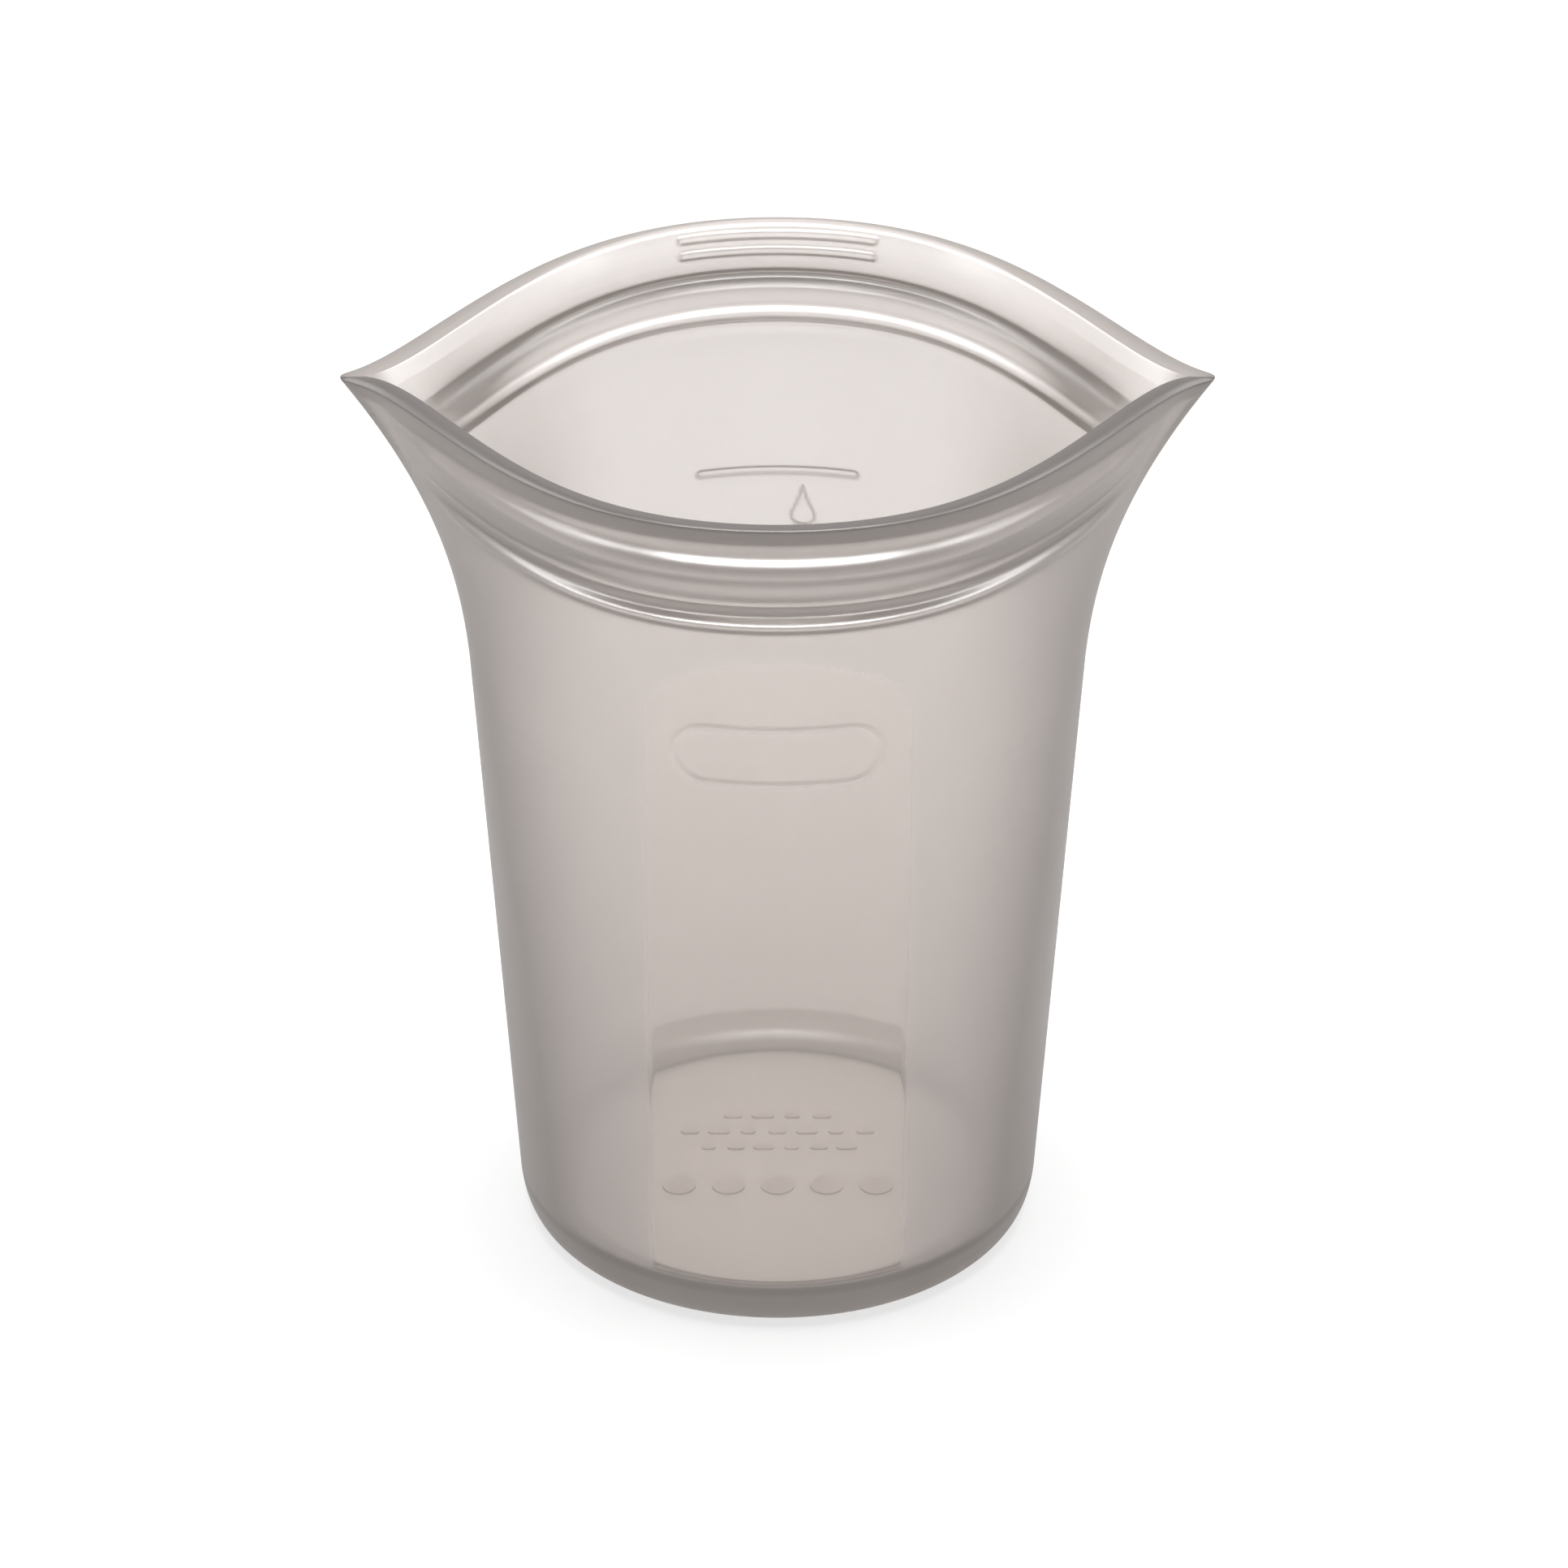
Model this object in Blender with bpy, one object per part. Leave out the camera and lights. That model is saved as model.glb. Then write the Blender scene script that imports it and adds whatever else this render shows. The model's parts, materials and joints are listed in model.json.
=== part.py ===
"""A one-piece silicone storage bag that stands up like a cup, modelled as its flexing zones.

The moulding has a round foot, a gently tapered round wall, and a mouth that flares to two pointed
corners. Its two lips carry a pinch seal: a rib inside the front lip and a channel inside the rear
lip. The moulding is lofted whole, then parted at the lines along which it flexes. The foot, the
lower wall and the corners stay put. The front and rear lips, and the folds beside them, tip
inwards about level lines in the wall until the lips meet.

Frame: origin at the centre of the underside, +Z up, front lip towards -Y, corners along X.
"""

import math

import bmesh
import bpy
from mathutils import Vector

MM = 0.001

# Overall size, in millimetres.
HEIGHT = 157.9  # top of the lips at their middles
CORNER_DROP = 1.8  # how much lower the two corners stand
WALL_BASE_R = 44.1  # outer radius that the tapered wall would have at the surface
WALL_TAPER = 0.0645  # growth of that radius for each millimetre of height
WALL = 2.0
FLOOR = 4.0
FOOT_CONTACT_R = 40.8
FOOT_ROUND = 5.0

# The mouth: round up to FLARE_Z, then wider along X and pointed.
FLARE_Z = 104.7
FLARE_RATE = 0.0059
MOUTH_EASE = 1.4  # how gently the round wall begins to turn into the pointed mouth
FLARE_CORNER_WALL = 2.6  # extra wall at the corners, where the two sides join
CORNER_HALF_THICK = 1.3
CORNER_SLIT = 0.35

# The seal, as heights on the lips.
LOW_RIDGE_Z = 139.2
GROOVE_Z = (140.6, 142.0)
BAND_Z = (143.4, 149.9)
TOP_RIDGE_Z = 151.3
FLANGE_Z = 153.2
RIM_FLARE = 3.3
RIM_THICK = 2.8
RIM_EDGE_Z = 157.1  # where the rounding of the rim begins
SEAL_Z = (147.9, 149.9)
SEAL_DEPTH = 1.1
SHELF_Z = (142.6, 146.8)
SHELF_DEPTH = 0.6

# Where the moulding flexes.
FOLD_Z = 30.0  # level line at the foot of each lip panel
LIP_X = 17.0  # half width of a lip panel
SIDE_X = 34.0  # where the folds end and the fixed sides begin
WALL_TOP_Z = 137.0
FLANGE_CUT_Z = 153.2
EAR_Z = 112.0
FLOOR_CUT_Z = 7.0
FLOOR_DISC_R = 36.0
GAP = 0.3
BIG = 200.0

# Raised marks, in millimetres.
GRIP_HALF = 16.6
GRIP_THICK = 1.0
GRIP_Z = (156.4, 153.9)
FILL_Z = 113.0
FILL_HALF = 14.0
MARK_THICK = 0.9
DROP_Z = 104.9  # middle of the drop's belly
DROP_R = 2.1
DROP_TALL = 2.2  # height of its point above that middle, for each unit of DROP_R
DROP_X = 4.4
BADGE_Z = 114.4
BADGE_HALF = 16.5
BADGE_RADIUS = 5.2

SEGMENTS = 56
SILICONE = (0.70, 0.66, 0.64, 1.0)


def smooth_step(value, start, end):
    """0 before start, 1 after end, and an even turn between them."""
    share = min(max((value - start) / (end - start), 0.0), 1.0)
    return share * share * (3.0 - 2.0 * share)


def cone_radius(z):
    """Outer radius of the round, tapered wall."""
    return WALL_BASE_R + WALL_TAPER * z


def half_width(z):
    """Half the moulding's width along X."""
    over = max(z - FLARE_Z, 0.0)
    return cone_radius(z) + FLARE_RATE * over * over


def mouth_share(z):
    """0 where the section is round, 1 at the rim, where it is a pointed lens."""
    return (max(z - FLARE_Z, 0.0) / (HEIGHT - FLARE_Z)) ** MOUTH_EASE


def lens(u, share):
    """Half depth of the section at u of its half width, as a share of its middle."""
    power = 0.5 * (1.0 - share) + share * (0.8 + 0.7 * u * u)
    return max(1.0 - u * u, 0.0) ** power


def fade(u):
    """1 along the lips, 0 at the corners, where the seal's ridges die out."""
    return 1.0 - smooth_step(abs(u), 0.70, 0.93)


def ring(z, half_x, half_y, corner, lip_offset=0.0, rear_offset=None):
    """One level section of a surface, as points in metres, anticlockwise from +X."""
    share = mouth_share(z)
    points = []
    for i in range(SEGMENTS):
        angle = 2.0 * math.pi * i / SEGMENTS
        u = math.cos(angle)
        side = 1.0 if math.sin(angle) >= 0.0 else -1.0
        offset = lip_offset
        if side > 0.0 and rear_offset is not None:
            offset = rear_offset
        tip = corner * share * math.sqrt(max(1.0 - u**16, 0.0))
        y = side * (half_y * lens(u, share) + tip + offset * fade(u) * abs(math.sin(angle)) ** 0.25)
        if abs(u) > 0.999999:
            y = 0.0
        points.append(Vector((half_x * u, y, z - CORNER_DROP * share * u * u)) * MM)
    return points


def foot_rings():
    """The rounded outer edge of the foot, from the surface upwards."""
    rings = []
    top = cone_radius(FOOT_ROUND)
    for step in range(5):
        turn = math.radians(22.5 * step)
        radius = FOOT_CONTACT_R + (top - FOOT_CONTACT_R) * math.sin(turn)
        rings.append(ring(FOOT_ROUND * (1.0 - math.cos(turn)), radius, radius, 0.0))
    return rings


def outer_rings():
    """The outside of the wall and lips, from above the foot to the rim."""
    rings = []
    for z in (FOLD_Z, 68.0, FLARE_Z, 116.0, 127.0, WALL_TOP_Z):
        rings.append(ring(z, half_width(z), cone_radius(z), CORNER_HALF_THICK))
    profile = [
        (LOW_RIDGE_Z, 1.1),
        (GROOVE_Z[0], 0.3),
        (GROOVE_Z[1], 0.3),
        (BAND_Z[0], 1.4),
        (BAND_Z[1], 1.2),
        (TOP_RIDGE_Z, 2.2),
        (FLANGE_Z, 0.9),
    ]
    for z, bulge in profile:
        rings.append(ring(z, half_width(z), cone_radius(z), CORNER_HALF_THICK, bulge))
    rim_y = cone_radius(HEIGHT) + RIM_FLARE - CORNER_HALF_THICK
    rings.append(ring(RIM_EDGE_Z, half_width(RIM_EDGE_Z), rim_y, CORNER_HALF_THICK))
    rings.append(ring(HEIGHT, half_width(HEIGHT) - 0.6, rim_y - 0.7, CORNER_HALF_THICK))
    return rings


def inner_rings():
    """The inside, from the rim down to the floor."""
    rings = []

    def inner(z, inset, front=0.0, rear=0.0, flare=0.0):
        half_y = cone_radius(z) + flare - inset
        rings.append(ring(z, inside_half_width(z), half_y, CORNER_SLIT, -front, rear))

    inner(HEIGHT, RIM_THICK - 0.6, flare=RIM_FLARE)
    inner(RIM_EDGE_Z, RIM_THICK, flare=RIM_FLARE)
    inner(FLANGE_Z, WALL)
    inner(SEAL_Z[1] + 0.1, WALL)
    inner(SEAL_Z[1] - 0.3, WALL, SEAL_DEPTH, SEAL_DEPTH)
    inner(SEAL_Z[0] + 0.3, WALL, SEAL_DEPTH, SEAL_DEPTH)
    inner(SEAL_Z[0] - 0.1, WALL)
    inner(SHELF_Z[1], WALL, SHELF_DEPTH, -SHELF_DEPTH)
    inner(SHELF_Z[0], WALL, SHELF_DEPTH, -SHELF_DEPTH)
    inner(SHELF_Z[0] - 0.8, WALL)
    for z in (WALL_TOP_Z, 127.0, 116.0, FLARE_Z, 68.0, FOLD_Z):
        inner(z, WALL)
    inner(FLOOR + 4.0, WALL)
    inner(FLOOR + 1.2, WALL + 1.2)
    inner(FLOOR, WALL + 4.0)
    return rings


def loft(name, rings, collection):
    """A closed skin over the rings, with a flat end at each of the first and last."""
    mesh = bpy.data.meshes.new(name)
    shell = bmesh.new()
    loops = [[shell.verts.new(point) for point in points] for points in rings]
    for lower, upper in zip(loops, loops[1:]):
        for i in range(len(lower)):
            j = (i + 1) % len(lower)
            shell.faces.new((lower[i], lower[j], upper[j], upper[i]))
    shell.faces.new(tuple(reversed(loops[0])))
    shell.faces.new(tuple(loops[-1]))
    bmesh.ops.recalc_face_normals(shell, faces=shell.faces)
    shell.to_mesh(mesh)
    shell.free()
    part = bpy.data.objects.new(name, mesh)
    collection.objects.link(part)
    return part


def make_collection(name):
    """A new collection under the scene's own."""
    group = bpy.data.collections.new(name)
    bpy.context.scene.collection.children.link(group)
    return group


def silicone(name, tint=1.0):
    """A frosted silicone for one sub-part."""
    material = bpy.data.materials.new(name + "_silicone")
    material.use_nodes = True
    shader = material.node_tree.nodes["Principled BSDF"]
    shader.inputs["Base Color"].default_value = [tint * part for part in SILICONE[:3]] + [1.0]
    shader.inputs["Roughness"].default_value = 0.42
    shader.inputs["Metallic"].default_value = 0.0
    material.diffuse_color = SILICONE
    return material


def hide_as_cutter(cutter):
    """Mark a guide that the finished object leaves out."""
    cutter.hide_render = True
    cutter.display_type = "WIRE"


def box_cutter(name, low, high, cutters):
    """A box between two corners in millimetres."""
    shape = bmesh.new()
    bmesh.ops.create_cube(shape, size=1.0)
    for vertex in shape.verts:
        for axis in range(3):
            middle = (low[axis] + high[axis]) / 2.0
            vertex.co[axis] = (middle + vertex.co[axis] * (high[axis] - low[axis])) * MM
    mesh = bpy.data.meshes.new(name)
    shape.to_mesh(mesh)
    shape.free()
    cutter = bpy.data.objects.new(name, mesh)
    cutters.objects.link(cutter)
    hide_as_cutter(cutter)
    return cutter


def disc_cutter(name, radius, low_z, high_z, cutters):
    """An upright cylinder round the Z axis, in millimetres."""
    shape = bmesh.new()
    bmesh.ops.create_cone(
        shape,
        cap_ends=True,
        segments=SEGMENTS,
        radius1=radius * MM,
        radius2=radius * MM,
        depth=(high_z - low_z) * MM,
    )
    bmesh.ops.translate(shape, verts=shape.verts, vec=(0.0, 0.0, (low_z + high_z) / 2.0 * MM))
    mesh = bpy.data.meshes.new(name)
    shape.to_mesh(mesh)
    shape.free()
    cutter = bpy.data.objects.new(name, mesh)
    cutters.objects.link(cutter)
    hide_as_cutter(cutter)
    return cutter


def boolean(part, cutter, operation):
    """Cut a part by a cutter, and leave the modifier on it."""
    modifier = part.modifiers.new(operation.lower() + "_" + cutter.name, "BOOLEAN")
    modifier.operation = operation
    modifier.solver = "EXACT"
    modifier.object = cutter


def zone(name, moulding, low, high, parts, cutters, pivot=None):
    """The stretch of the moulding inside a box, half a gap in from each of its sides."""
    inset = GAP / 2.0
    corner_low = [value + inset for value in low]
    corner_high = [value - inset for value in high]
    part = bpy.data.objects.new(name, moulding.data.copy())
    part.data.name = name
    parts.objects.link(part)
    part.data.materials.append(silicone(name))
    boolean(part, box_cutter(name + "_box", corner_low, corner_high, cutters), "INTERSECT")
    place_at_pivot(part, pivot)
    return part


def place_at_pivot(part, pivot):
    """Move a part's origin to its hinge line without moving its shape."""
    if pivot is None:
        return
    for vertex in part.data.vertices:
        vertex.co = vertex.co - pivot
    part.location = pivot


def outside_point(x, z, side, proud):
    """A point this far out from the outside of the front (-1) or rear (+1) wall."""
    share = mouth_share(z)
    u = x / half_width(z)
    y = (cone_radius(z) + proud) * lens(u, share) + CORNER_HALF_THICK * share
    return Vector((x, side * y, z - CORNER_DROP * share * u * u)) * MM


def inside_half_width(z):
    """Half the width of the hollow along X."""
    return half_width(z) - WALL - FLARE_CORNER_WALL * mouth_share(z)


def inside_point(x, z, side, proud):
    """A point this far in from the inside of the front (-1) or rear (+1) lip."""
    share = mouth_share(z)
    u = x / inside_half_width(z)
    lip_share = min(max((z - FLANGE_Z) / (RIM_EDGE_Z - FLANGE_Z), 0.0), 1.0)
    inset = WALL + (RIM_THICK - WALL - RIM_FLARE) * lip_share
    y = (cone_radius(z) - inset - proud) * lens(u, share) + CORNER_SLIT * share
    return Vector((x, side * y, z - CORNER_DROP * share * u * u)) * MM


def raised_bar(name, side, z, half_length, thick, place, parts, pivot):
    """A round bar that follows the wall's curve at one height, just clear of it."""
    curve = bpy.data.curves.new(name, "CURVE")
    curve.dimensions = "3D"
    curve.bevel_depth = thick / 2.0 * MM
    curve.bevel_resolution = 1
    curve.use_fill_caps = True
    spline = curve.splines.new("POLY")
    count = 11
    spline.points.add(count - 1)
    for i in range(count):
        x = half_length * (2.0 * i / (count - 1) - 1.0)
        point = place(x, z, side, thick / 2.0 + 1.5 * GAP)
        spline.points[i].co = (*point, 1.0)
    return curve_to_part(name, curve, parts, pivot)


def curve_to_part(name, curve, parts, pivot):
    """Turn a curve into a closed mesh part."""
    guide = bpy.data.objects.new(name + "_guide", curve)
    parts.objects.link(guide)
    graph = bpy.context.evaluated_depsgraph_get()
    mesh = bpy.data.meshes.new_from_object(guide.evaluated_get(graph))
    bpy.data.objects.remove(guide)
    shape = bmesh.new()
    shape.from_mesh(mesh)
    bmesh.ops.remove_doubles(shape, verts=shape.verts, dist=0.00001)
    bmesh.ops.recalc_face_normals(shape, faces=shape.faces)
    shape.to_mesh(mesh)
    shape.free()
    mesh.name = name
    part = bpy.data.objects.new(name, mesh)
    parts.objects.link(part)
    part.data.materials.clear()
    part.data.materials.append(silicone(name, 1.05))
    place_at_pivot(part, pivot)
    return part


def raised_outline(name, side, outline, thick, parts, pivot):
    """A closed round bead that follows an outline of (x, z) pairs on the outside of the wall."""
    curve = bpy.data.curves.new(name, "CURVE")
    curve.dimensions = "3D"
    curve.bevel_depth = thick / 2.0 * MM
    curve.bevel_resolution = 1
    spline = curve.splines.new("POLY")
    spline.points.add(len(outline) - 1)
    spline.use_cyclic_u = True
    for point, (x, z) in zip(spline.points, outline):
        point.co = (*outside_point(x, z, side, thick / 2.0 + GAP), 1.0)
    return curve_to_part(name, curve, parts, pivot)


def drop_outline():
    """A drop: a round belly that narrows to a point above it."""
    points = []
    for step in range(12):
        angle = math.radians(-90.0 + 30.0 * step)
        x = DROP_R * math.cos(angle)
        z = DROP_R * math.sin(angle)
        if z > 0.0:
            x *= abs(math.cos(angle))
            z *= DROP_TALL
        points.append((DROP_X + x, DROP_Z + z))
    return points


def badge_outline():
    """A blank pill shape: two round ends, and straight sides in short runs."""
    points = []
    middle = BADGE_HALF - BADGE_RADIUS
    for end in (1.0, -1.0):
        for step in range(7):
            angle = math.radians(-90.0 * end + 30.0 * step)
            x = end * middle + BADGE_RADIUS * math.cos(angle)
            points.append((x, BADGE_Z + BADGE_RADIUS * math.sin(angle)))
        for step in range(1, 6):
            points.append((end * middle * (1.0 - step / 3.0), BADGE_Z + end * BADGE_RADIUS))
    return points


def hinge_y(edge_x):
    """Y of a stave's hinge line: its innermost bottom edge, on the rear side."""
    inside = cone_radius(FOLD_Z) - WALL
    return math.sqrt(inside * inside - edge_x * edge_x) - 0.2


def build_base(moulding, parts, cutters):
    """The fixed zones: floor, foot, lower wall, sides and corners."""
    floor = zone("base_floor", moulding, (-BIG, -BIG, -BIG), (BIG, BIG, FLOOR_CUT_Z), parts, cutters)
    disc = disc_cutter("floor_disc", FLOOR_DISC_R - GAP / 2.0, -BIG, BIG, cutters)
    boolean(floor, disc, "INTERSECT")
    foot = zone("foot_ring", moulding, (-BIG, -BIG, -BIG), (BIG, BIG, FLOOR_CUT_Z), parts, cutters)
    hole = disc_cutter("floor_hole", FLOOR_DISC_R + GAP / 2.0, -BIG, BIG, cutters)
    boolean(foot, hole, "DIFFERENCE")
    zone("lower_wall", moulding, (-BIG, -BIG, FLOOR_CUT_Z), (BIG, BIG, FOLD_Z), parts, cutters)
    for label, low_x, high_x in (("left", -BIG, -SIDE_X), ("right", SIDE_X, BIG)):
        zone(
            label + "_side_wall",
            moulding,
            (low_x, -BIG, FOLD_Z),
            (high_x, BIG, EAR_Z),
            parts,
            cutters,
        )
        zone(
            label + "_corner_ear",
            moulding,
            (low_x, -BIG, EAR_Z),
            (high_x, BIG, BIG),
            parts,
            cutters,
        )


def build_stave(prefix, names, moulding, x_range, side, pivot, parts, cutters):
    """One tipping stave, cut at two heights into its wall, seal and flange."""
    low_y, high_y = (-BIG, 0.0) if side < 0.0 else (0.0, BIG)
    levels = (FOLD_Z, WALL_TOP_Z, FLANGE_CUT_Z, BIG)
    for name, low_z, high_z in zip(names, levels, levels[1:]):
        low = (x_range[0], low_y, low_z)
        high = (x_range[1], high_y, high_z)
        zone(prefix + name, moulding, low, high, parts, cutters, pivot)


def main():
    """Clear the scene and build the object."""
    for old in list(bpy.data.objects):
        bpy.data.objects.remove(old)
    parts = make_collection("silicone_storage_bag")
    cutters = make_collection("cutters")
    moulding = loft("moulding", foot_rings() + outer_rings() + inner_rings(), cutters)
    hide_as_cutter(moulding)
    build_base(moulding, parts, cutters)
    for label, side in (("front", -1.0), ("rear", 1.0)):
        pivot = Vector((0.0, side * hinge_y(LIP_X), FOLD_Z)) * MM
        seal = "_seal_rib" if side < 0.0 else "_seal_channel"
        names = ("_wall_panel", seal, "_lip_flange")
        build_stave(label, names, moulding, (-LIP_X, LIP_X), side, pivot, parts, cutters)
        for number, z in enumerate(GRIP_Z, start=1):
            name = f"{label}_grip_bar_{number}"
            raised_bar(name, side, z, GRIP_HALF, GRIP_THICK, inside_point, parts, pivot)
        side_pivot = Vector((0.0, side * hinge_y(SIDE_X), FOLD_Z)) * MM
        for hand, x_range in (("left", (-SIDE_X, -LIP_X)), ("right", (LIP_X, SIDE_X))):
            prefix = f"{label}_{hand}"
            names = ("_fold_wall", "_fold_seal", "_fold_flange")
            build_stave(prefix, names, moulding, x_range, side, side_pivot, parts, cutters)
    rear_pivot = Vector((0.0, hinge_y(LIP_X), FOLD_Z)) * MM
    front_pivot = Vector((0.0, -hinge_y(LIP_X), FOLD_Z)) * MM
    raised_bar("fill_line", 1.0, FILL_Z, FILL_HALF, MARK_THICK, outside_point, parts, rear_pivot)
    raised_outline("drop_mark", 1.0, drop_outline(), MARK_THICK, parts, rear_pivot)
    raised_outline("blank_badge", -1.0, badge_outline(), MARK_THICK, parts, front_pivot)


main()
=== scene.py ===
"""The finished look of a stand-up silicone storage bag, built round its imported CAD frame.

The bag is one moulding of frosted, translucent silicone. It is lofted here as one fine skin, from
the middle of the underside, round the foot, up the wall, over the rim and down the inside. The
skin is then parted into a base and two half shells. The faces at the partings are clear and the
normals run across them, so the moulding reads as one body, and the half shells bend with the lips.
"""

import json
import math

import bmesh
import bpy
import numpy as np
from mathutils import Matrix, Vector


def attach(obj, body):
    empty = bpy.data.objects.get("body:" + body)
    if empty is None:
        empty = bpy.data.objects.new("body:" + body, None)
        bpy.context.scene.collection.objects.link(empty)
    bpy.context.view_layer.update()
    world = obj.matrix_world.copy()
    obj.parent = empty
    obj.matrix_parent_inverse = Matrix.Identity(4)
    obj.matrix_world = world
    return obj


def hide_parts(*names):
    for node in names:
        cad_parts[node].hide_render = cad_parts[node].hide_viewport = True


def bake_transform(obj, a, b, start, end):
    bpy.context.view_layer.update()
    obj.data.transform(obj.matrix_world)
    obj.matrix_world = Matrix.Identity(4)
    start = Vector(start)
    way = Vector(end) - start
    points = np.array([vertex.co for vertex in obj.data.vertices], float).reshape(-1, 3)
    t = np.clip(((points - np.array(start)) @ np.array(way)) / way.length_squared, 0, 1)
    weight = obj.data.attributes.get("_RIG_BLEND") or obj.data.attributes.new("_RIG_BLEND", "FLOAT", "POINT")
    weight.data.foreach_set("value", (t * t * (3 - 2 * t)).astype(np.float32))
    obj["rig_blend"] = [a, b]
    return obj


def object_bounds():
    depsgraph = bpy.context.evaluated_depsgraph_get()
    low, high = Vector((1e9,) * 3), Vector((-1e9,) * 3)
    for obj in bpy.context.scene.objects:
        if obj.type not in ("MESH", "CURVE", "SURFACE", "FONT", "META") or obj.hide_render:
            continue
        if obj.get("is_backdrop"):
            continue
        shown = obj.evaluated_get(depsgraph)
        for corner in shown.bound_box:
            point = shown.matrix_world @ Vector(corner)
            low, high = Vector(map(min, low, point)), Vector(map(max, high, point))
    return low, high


MM = 0.001

# Section sizes in millimetres, as in the CAD model.
HEIGHT = 157.9
CORNER_DROP = 1.8
WALL_BASE_R = 44.1
WALL_TAPER = 0.0645
WALL = 2.0
FLOOR = 4.0
FLARE_Z = 104.7
FLARE_RATE = 0.0059
TIP_SHARPNESS = 100  # the lower this power, the more pointed the two corner tips
MOUTH_EASE = 1.4  # how gently the round wall begins to turn into the pointed mouth
CORNER_WALL = 4.6
CORNER_HALF_THICK = 1.3
CORNER_SLIT = 0.35
REAR_BULGE = 0.5  # the rear lip's ridges outside, as a share of the front lip's
RIM_LEAN = 2.0
RIM_THICK = 2.8
FOLD_Z = 30.0
CLOSED_GAP = 0.3

# Fineness of the skin.
SMOOTHING = 3
FINEST_STEP = 0.2
PARTING_Z = 22.0
COARSE_TURN = 1.5  # degrees between columns at the sides
FINE_TURN = 0.55  # and across the lips, where the marks are
FINE_FROM = 63.0


def column_angles():
    """The angle of each column of points, in radians from +X, finer across both lips."""
    coarse = np.arange(0.0, FINE_FROM, COARSE_TURN)
    fine = np.linspace(FINE_FROM, 90.0, 1 + round((90.0 - FINE_FROM) / FINE_TURN))
    quarter = np.concatenate([coarse, fine])
    half = np.concatenate([quarter, 180.0 - quarter[-2::-1]])
    return np.radians(np.concatenate([half, 360.0 - half[-2:0:-1]]))


ANGLES = column_angles()
SEGMENTS = len(ANGLES)

FRONT, REAR = -1.0, 1.0

# Marks, in millimetres: heights above the ground, half lengths, and how far they stand out.
BAR_R = 0.62
GRIP_HALF = 16.6
GRIP_Z = (156.2, 153.6)
GRIP_RISE = 0.22
FILL_Z = 113.0
FILL_HALF = 14.0
MARK_RISE = 0.45
DROP_X = 4.4
DROP_Z = 104.9
DROP_R = 2.1
DROP_TALL = 2.6  # the height of the point, as a share of the drop's radius
BADGE_Z = 114.4
BADGE_HALF = 16.5
BADGE_R = 5.2
BADGE_RISE = 0.35
WINDOW_HALF = 21.0
WINDOW_TOP = 132.0
WINDOW_ARCH = 12.0
WINDOW_BOTTOM = 8.8
WINDOW_STEP = 0.15

# The low pads on the floor of the hollow.
PAD_Z = (4.05, 4.35)
PAD_TURN = 5  # points in a quarter of a round end
BAR_ROWS = ((15.5, 10.5), (10.5, 18.0), (5.5, 14.5))
BAR_PITCH = 5.2
BAR_HALF_HEIGHT = 0.85
DOT_Y = -6.5
DOT_R = 2.9
DOT_PITCH = 8.5

# The widest step between rings, and the bands where the marks and ridges need finer ones.
COARSE_STEP = 4.0
OUTSIDE_BANDS = ((7.8, 10.0, 0.25), (101.5, 120.5, 0.28), (120.5, 133.0, 0.6))
INSIDE_BANDS = ((152.0, 157.4, 0.22),)

# Silicone colours, as the share of light that they return.
THIN_MILK = (0.78, 0.72, 0.688)
THICK_MILK = (0.39, 0.357, 0.338)
# the darkest milk, for the densest silicone and the deepest painted shade
DENSE_AND_SHADED_MILK = (0.17, 0.155, 0.147)
CLEAR_TINT = (0.96, 0.945, 0.935)
PANEL_TINT = (0.975, 0.96, 0.95)

# Shades: 0 looks like a thin wall and 1 like a thick one; many of them are painted shade.
# Past 1 the milk turns to its darkest colour.
# The front rim: dense silicone, darkened further with painted shade.
RIM_SHADE = 2.0
CLEAR_RIM_SHADE = -1.0  # the rear rim, kept clearer and lighter than the front rim: painted light
CLEAR_RIM_MILK = 0.22  # the milk put back there, since light gathers at the edge
FOOT_TOP = 9.0
FOOT_MIDDLE = 0.9  # the share of the foot's shade that is left at the middle of the front; the darker sides are painted shade
SEAL_BOTTOM = 141.0
SEAL_TOP = 150.5
SEAL_CORNER_SHADE = 0.6  # added towards the corners, inside the rear lip
# painted shade on the flange towards the corners, inside the rear lip
FLANGE_CORNER_PAINTED_SHADE = 0.3
SEAM_SHADE = 0.5  # where the lips join, at both corners
WALL_PAINTED_SHADE = 0.24  # painted shade: how much darker the wall looks at the foot than at the mouth
OUTLINE_PAINTED_SHADE = 0.8  # painted shade along the edges of the marks
PAD_SHADE = 0.35

# Silicone surface.
SILICONE_IOR = 1.41
FROSTED_ROUGHNESS = 0.18
PANEL_ROUGHNESS = 0.04
PANEL_CLEARNESS = 0.55  # the share of the milk that is left in the clear panel
GLOSS = 0.07
GLOSS_ROUGHNESS = 0.26
MILK_DENSITY = (0.33, 0.97)  # the share of milk in a thin wall and in a thick one
GLOW_SHARE = 0.4
GRAIN_SCALE = 2200.0
GRAIN_STRENGTH = 0.04
CLOUD_SCALE = 28.0

# Studio and camera.
FLOOR_HALF = 3.0
FLOOR_WHITE = (0.32, 0.32, 0.32, 1.0)
FLOOR_GLOW = 0.69
WORLD_FRONT = 0.2
WORLD_BACK = 1.35
CAMERA_RISE = 30.0
CAMERA_AWAY = 1.05
AIM_ABOVE_MIDDLE = 0.00105
LENS = 143.7
SHIFT_X = 0.0041


def smooth_step(value, start, end):
    """0 before start, 1 after end, and an even turn between them."""
    share = np.clip((value - start) / (end - start), 0.0, 1.0)
    return share * share * (3.0 - 2.0 * share)


def cone_radius(z):
    """Outer radius of the round, tapered wall."""
    return WALL_BASE_R + WALL_TAPER * z


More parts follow.
